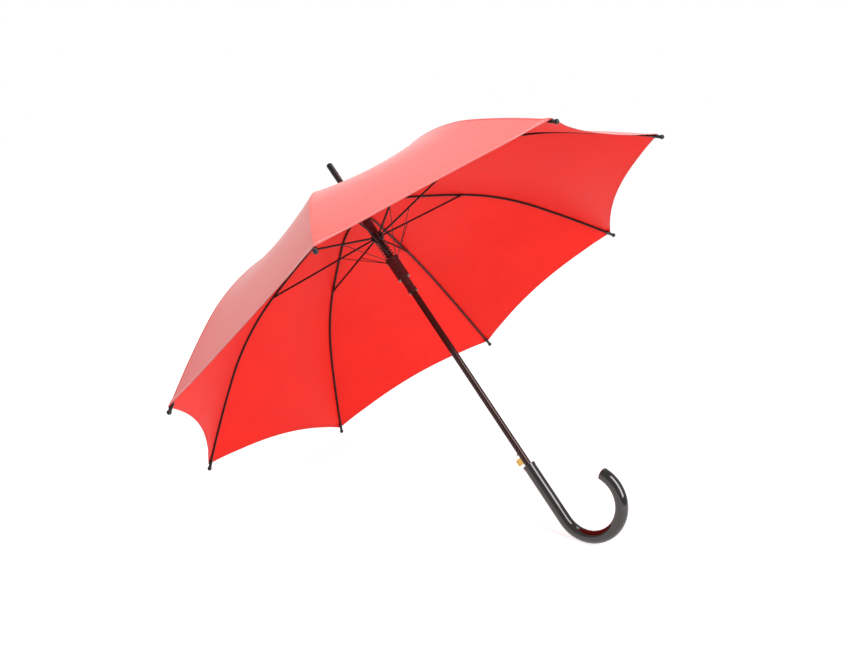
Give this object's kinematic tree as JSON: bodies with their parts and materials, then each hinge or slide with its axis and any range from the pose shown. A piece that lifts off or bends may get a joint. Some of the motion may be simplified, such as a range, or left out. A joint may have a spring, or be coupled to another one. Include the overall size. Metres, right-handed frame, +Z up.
{
  "type": "stick umbrella",
  "caption": "Automatic-opening stick umbrella lying open: domed red fabric canopy on folding ribs, sprung runner, metal shaft, ferrule and crook handle.",
  "frame": {"origin": "on the floor, under the middle of the open umbrella's box, where it rests on two tip caps and the crook", "axes": "+Z up from the floor, +X towards the crook handle along the floor, +Y along the canopy's width"},
  "size_m": [0.7644, 0.9566, 0.6831],
  "materials": {
    "canopy_fabric": "satin",
    "polished_shaft": "polished",
    "gloss_handle": "gloss",
    "black_plastic": "gloss",
    "dark_plastic": "satin",
    "black_steel": "satin",
    "wire_steel": "satin",
    "spring_steel": "polished",
    "catch_steel": "satin",
    "brass_trigger": "polished"
  },
  "bodies": {
    "shaft": {"shaft_tube": "polished_shaft", "ferrule": "polished_shaft", "ferrule_cap": "black_plastic", "crown_notch": "dark_plastic", "crown_cap": "black_plastic", "crook_handle": "gloss_handle"},
    "catch": {"runner_catch": "catch_steel", "trigger_button": "brass_trigger"},
    "hub": {"stretcher_hub": "dark_plastic", "opening_spring": "spring_steel"},
    "runner": {"runner_housing": "dark_plastic", "runner_tube": "dark_plastic"},
    "rib_inner_1": {"rib_inner_1": "black_steel"},
    "rib_outer_1": {"rib_outer_1": "black_steel", "tip_cap_1": "black_plastic", "gore_1": "canopy_fabric"},
    "stretcher_1": {"stretcher_1": "black_steel"},
    "link_wire_1": {"link_wire_1": "wire_steel"},
    "rib_inner_2": {"rib_inner_2": "black_steel"},
    "rib_outer_2": {"rib_outer_2": "black_steel", "tip_cap_2": "black_plastic", "gore_2": "canopy_fabric"},
    "stretcher_2": {"stretcher_2": "black_steel"},
    "link_wire_2": {"link_wire_2": "wire_steel"},
    "rib_inner_3": {"rib_inner_3": "black_steel"},
    "rib_outer_3": {"rib_outer_3": "black_steel", "tip_cap_3": "black_plastic", "gore_3": "canopy_fabric"},
    "stretcher_3": {"stretcher_3": "black_steel"},
    "link_wire_3": {"link_wire_3": "wire_steel"},
    "rib_inner_4": {"rib_inner_4": "black_steel"},
    "rib_outer_4": {"rib_outer_4": "black_steel", "tip_cap_4": "black_plastic", "gore_4": "canopy_fabric"},
    "stretcher_4": {"stretcher_4": "black_steel"},
    "link_wire_4": {"link_wire_4": "wire_steel"},
    "rib_inner_5": {"rib_inner_5": "black_steel"},
    "rib_outer_5": {"rib_outer_5": "black_steel", "tip_cap_5": "black_plastic", "gore_5": "canopy_fabric"},
    "stretcher_5": {"stretcher_5": "black_steel"},
    "link_wire_5": {"link_wire_5": "wire_steel"},
    "rib_inner_6": {"rib_inner_6": "black_steel"},
    "rib_outer_6": {"rib_outer_6": "black_steel", "tip_cap_6": "black_plastic", "gore_6": "canopy_fabric"},
    "stretcher_6": {"stretcher_6": "black_steel"},
    "link_wire_6": {"link_wire_6": "wire_steel"},
    "rib_inner_7": {"rib_inner_7": "black_steel"},
    "rib_outer_7": {"rib_outer_7": "black_steel", "tip_cap_7": "black_plastic", "gore_7": "canopy_fabric"},
    "stretcher_7": {"stretcher_7": "black_steel"},
    "link_wire_7": {"link_wire_7": "wire_steel"},
    "rib_inner_8": {"rib_inner_8": "black_steel"},
    "rib_outer_8": {"rib_outer_8": "black_steel", "tip_cap_8": "black_plastic", "gore_8": "canopy_fabric"},
    "stretcher_8": {"stretcher_8": "black_steel"},
    "link_wire_8": {"link_wire_8": "wire_steel"}
  },
  "joints": [
    {"name": "rib_1_fold", "type": "hinge", "parent": "shaft", "child": "rib_inner_1", "pos_m": [-0.20084, 0.00383, 0.50845], "axis": [-0.2689, 0.9239, -0.2723], "range_deg": [0, 79.93], "stiffness_Nm_per_rad": 0.35, "springref_deg": -34.38, "deforming": ["gore_1", "gore_2", "gore_3", "gore_4", "gore_5", "gore_6", "gore_7", "gore_8"]},
    {"name": "rib_2_fold", "type": "hinge", "parent": "shaft", "child": "rib_inner_2", "pos_m": [-0.20464, 0.00924, 0.5046], "axis": [-0.6491, 0.3827, -0.6574], "range_deg": [0, 79.94]},
    {"name": "rib_3_fold", "type": "hinge", "parent": "shaft", "child": "rib_inner_3", "pos_m": [-0.21002, 0.00924, 0.49916], "axis": [-0.6491, -0.3827, -0.6574], "range_deg": [0, 79.94]},
    {"name": "rib_4_fold", "type": "hinge", "parent": "shaft", "child": "rib_inner_4", "pos_m": [-0.21382, 0.00383, 0.4953], "axis": [-0.2689, -0.9239, -0.2723], "range_deg": [0, 79.94]},
    {"name": "rib_5_fold", "type": "hinge", "parent": "shaft", "child": "rib_inner_5", "pos_m": [-0.21382, -0.00383, 0.4953], "axis": [0.2689, -0.9239, 0.2723], "range_deg": [0, 79.94]},
    {"name": "rib_6_fold", "type": "hinge", "parent": "shaft", "child": "rib_inner_6", "pos_m": [-0.21002, -0.00924, 0.49916], "axis": [0.6491, -0.3827, 0.6574], "range_deg": [0, 79.94]},
    {"name": "rib_7_fold", "type": "hinge", "parent": "shaft", "child": "rib_inner_7", "pos_m": [-0.20464, -0.00924, 0.5046], "axis": [0.6491, 0.3827, 0.6574], "range_deg": [0, 79.94]},
    {"name": "rib_8_fold", "type": "hinge", "parent": "shaft", "child": "rib_inner_8", "pos_m": [-0.20084, -0.00383, 0.50845], "axis": [0.2689, 0.9239, 0.2723], "range_deg": [0, 79.94]},
    {"name": "rib_1_flex", "type": "hinge", "parent": "rib_inner_1", "child": "rib_outer_1", "pos_m": [-0.03668, 0.08844, 0.63344], "axis": [-0.2689, 0.9239, -0.2723], "range_deg": [-25, 0]},
    {"name": "stretcher_1_knee", "type": "hinge", "parent": "rib_inner_1", "child": "stretcher_1", "pos_m": [-0.03668, 0.08844, 0.63344], "axis": [-0.2689, 0.9239, -0.2723], "range_deg": [-159.87, 0]},
    {"name": "link_wire_1_pivot", "type": "hinge", "parent": "stretcher_1", "child": "link_wire_1", "pos_m": [-0.12077, 0.03054, 0.52003], "axis": [-0.2689, 0.9239, -0.2723], "range_deg": [0, 34.23]},
    {"name": "rib_2_flex", "type": "hinge", "parent": "rib_inner_2", "child": "rib_outer_2", "pos_m": [-0.12456, 0.21351, 0.54444], "axis": [-0.6491, 0.3827, -0.6574], "range_deg": [-25, 0]},
    {"name": "stretcher_2_knee", "type": "hinge", "parent": "rib_inner_2", "child": "stretcher_2", "pos_m": [-0.12456, 0.21351, 0.54444], "axis": [-0.6491, 0.3827, -0.6574], "range_deg": [-159.87, 0]},
    {"name": "link_wire_2_pivot", "type": "hinge", "parent": "stretcher_2", "child": "link_wire_2", "pos_m": [-0.15112, 0.07373, 0.48929], "axis": [-0.6491, 0.3827, -0.6574], "range_deg": [0, 34.23]},
    {"name": "rib_3_flex", "type": "hinge", "parent": "rib_inner_3", "child": "rib_outer_3", "pos_m": [-0.24883, 0.21351, 0.41857], "axis": [-0.6491, -0.3827, -0.6574], "range_deg": [-25, 0]},
    {"name": "stretcher_3_knee", "type": "hinge", "parent": "rib_inner_3", "child": "stretcher_3", "pos_m": [-0.24883, 0.21351, 0.41857], "axis": [-0.6491, -0.3827, -0.6574], "range_deg": [-159.87, 0]},
    {"name": "link_wire_3_pivot", "type": "hinge", "parent": "stretcher_3", "child": "link_wire_3", "pos_m": [-0.19403, 0.07373, 0.44583], "axis": [-0.6491, -0.3827, -0.6574], "range_deg": [0, 34.23]},
    {"name": "rib_4_flex", "type": "hinge", "parent": "rib_inner_4", "child": "rib_outer_4", "pos_m": [-0.33671, 0.08844, 0.32957], "axis": [-0.2689, -0.9239, -0.2723], "range_deg": [-25, 0]},
    {"name": "stretcher_4_knee", "type": "hinge", "parent": "rib_inner_4", "child": "stretcher_4", "pos_m": [-0.33671, 0.08844, 0.32957], "axis": [-0.2689, -0.9239, -0.2723], "range_deg": [-159.87, 0]},
    {"name": "link_wire_4_pivot", "type": "hinge", "parent": "stretcher_4", "child": "link_wire_4", "pos_m": [-0.22437, 0.03054, 0.4151], "axis": [-0.2689, -0.9239, -0.2723], "range_deg": [0, 34.23]},
    {"name": "rib_5_flex", "type": "hinge", "parent": "rib_inner_5", "child": "rib_outer_5", "pos_m": [-0.33671, -0.08844, 0.32957], "axis": [0.2689, -0.9239, 0.2723], "range_deg": [-25, 0]},
    {"name": "stretcher_5_knee", "type": "hinge", "parent": "rib_inner_5", "child": "stretcher_5", "pos_m": [-0.33671, -0.08844, 0.32957], "axis": [0.2689, -0.9239, 0.2723], "range_deg": [-159.87, 0]},
    {"name": "link_wire_5_pivot", "type": "hinge", "parent": "stretcher_5", "child": "link_wire_5", "pos_m": [-0.22437, -0.03054, 0.4151], "axis": [0.2689, -0.9239, 0.2723], "range_deg": [0, 34.23]},
    {"name": "rib_6_flex", "type": "hinge", "parent": "rib_inner_6", "child": "rib_outer_6", "pos_m": [-0.24883, -0.21351, 0.41857], "axis": [0.6491, -0.3827, 0.6574], "range_deg": [-25, 0]},
    {"name": "stretcher_6_knee", "type": "hinge", "parent": "rib_inner_6", "child": "stretcher_6", "pos_m": [-0.24883, -0.21351, 0.41857], "axis": [0.6491, -0.3827, 0.6574], "range_deg": [-159.87, 0]},
    {"name": "link_wire_6_pivot", "type": "hinge", "parent": "stretcher_6", "child": "link_wire_6", "pos_m": [-0.19403, -0.07373, 0.44583], "axis": [0.6491, -0.3827, 0.6574], "range_deg": [0, 34.23]},
    {"name": "rib_7_flex", "type": "hinge", "parent": "rib_inner_7", "child": "rib_outer_7", "pos_m": [-0.12456, -0.21351, 0.54444], "axis": [0.6491, 0.3827, 0.6574], "range_deg": [-25, 0]},
    {"name": "stretcher_7_knee", "type": "hinge", "parent": "rib_inner_7", "child": "stretcher_7", "pos_m": [-0.12456, -0.21351, 0.54444], "axis": [0.6491, 0.3827, 0.6574], "range_deg": [-159.87, 0]},
    {"name": "link_wire_7_pivot", "type": "hinge", "parent": "stretcher_7", "child": "link_wire_7", "pos_m": [-0.15112, -0.07373, 0.48929], "axis": [0.6491, 0.3827, 0.6574], "range_deg": [0, 34.23]},
    {"name": "rib_8_flex", "type": "hinge", "parent": "rib_inner_8", "child": "rib_outer_8", "pos_m": [-0.03668, -0.08844, 0.63344], "axis": [0.2689, 0.9239, 0.2723], "range_deg": [-25, 0]},
    {"name": "stretcher_8_knee", "type": "hinge", "parent": "rib_inner_8", "child": "stretcher_8", "pos_m": [-0.03668, -0.08844, 0.63344], "axis": [0.2689, 0.9239, 0.2723], "range_deg": [-159.87, 0]},
    {"name": "link_wire_8_pivot", "type": "hinge", "parent": "stretcher_8", "child": "link_wire_8", "pos_m": [-0.12077, -0.03054, 0.52003], "axis": [0.2689, 0.9239, 0.2723], "range_deg": [0, 34.23]},
    {"name": "hub_slide", "type": "hinge", "parent": "stretcher_1", "child": "hub", "pos_m": [-0.15957, 0.00383, 0.4677], "axis": [-0.2689, 0.9239, -0.2723], "range_deg": [0, 79.94]},
    {"name": "runner_slide", "type": "slide", "parent": "hub", "child": "runner", "axis": [-0.7116, 0, 0.7026], "range_m": [0, 0.03126], "deforming": ["opening_spring"]},
    {"name": "trigger_press", "type": "hinge", "parent": "shaft", "child": "catch", "pos_m": [0.12394, 0, 0.1696], "axis": [0, -1, 0], "range_deg": [0, 2.7], "stiffness_Nm_per_rad": 0.5, "springref_deg": -3.44}
  ],
  "couplings": [
    {"joint": "rib_2_fold", "follows": "rib_1_fold", "ratio": 1},
    {"joint": "rib_3_fold", "follows": "rib_1_fold", "ratio": 1},
    {"joint": "rib_4_fold", "follows": "rib_1_fold", "ratio": 1},
    {"joint": "rib_5_fold", "follows": "rib_1_fold", "ratio": 1},
    {"joint": "rib_6_fold", "follows": "rib_1_fold", "ratio": 1},
    {"joint": "rib_7_fold", "follows": "rib_1_fold", "ratio": 1},
    {"joint": "rib_8_fold", "follows": "rib_1_fold", "ratio": 1},
    {"joint": "rib_1_flex", "follows": "rib_1_fold", "ratio": -0.3126},
    {"joint": "stretcher_1_knee", "follows": "rib_1_fold", "ratio": -2},
    {"joint": "link_wire_1_pivot", "follows": "rib_1_fold", "ratio": 0.42808},
    {"joint": "rib_2_flex", "follows": "rib_1_fold", "ratio": -0.3126},
    {"joint": "stretcher_2_knee", "follows": "rib_1_fold", "ratio": -2},
    {"joint": "link_wire_2_pivot", "follows": "rib_1_fold", "ratio": 0.42808},
    {"joint": "rib_3_flex", "follows": "rib_1_fold", "ratio": -0.3126},
    {"joint": "stretcher_3_knee", "follows": "rib_1_fold", "ratio": -2},
    {"joint": "link_wire_3_pivot", "follows": "rib_1_fold", "ratio": 0.42808},
    {"joint": "rib_4_flex", "follows": "rib_1_fold", "ratio": -0.3126},
    {"joint": "stretcher_4_knee", "follows": "rib_1_fold", "ratio": -2},
    {"joint": "link_wire_4_pivot", "follows": "rib_1_fold", "ratio": 0.42808},
    {"joint": "rib_5_flex", "follows": "rib_1_fold", "ratio": -0.3126},
    {"joint": "stretcher_5_knee", "follows": "rib_1_fold", "ratio": -2},
    {"joint": "link_wire_5_pivot", "follows": "rib_1_fold", "ratio": 0.42808},
    {"joint": "rib_6_flex", "follows": "rib_1_fold", "ratio": -0.3126},
    {"joint": "stretcher_6_knee", "follows": "rib_1_fold", "ratio": -2},
    {"joint": "link_wire_6_pivot", "follows": "rib_1_fold", "ratio": 0.42808},
    {"joint": "rib_7_flex", "follows": "rib_1_fold", "ratio": -0.3126},
    {"joint": "stretcher_7_knee", "follows": "rib_1_fold", "ratio": -2},
    {"joint": "link_wire_7_pivot", "follows": "rib_1_fold", "ratio": 0.42808},
    {"joint": "rib_8_flex", "follows": "rib_1_fold", "ratio": -0.3126},
    {"joint": "stretcher_8_knee", "follows": "rib_1_fold", "ratio": -2},
    {"joint": "link_wire_8_pivot", "follows": "rib_1_fold", "ratio": 0.42808},
    {"joint": "hub_slide", "follows": "rib_1_fold", "ratio": 1},
    {"joint": "runner_slide", "follows": "rib_1_fold", "m_per_rad": 0.022399}
  ]
}
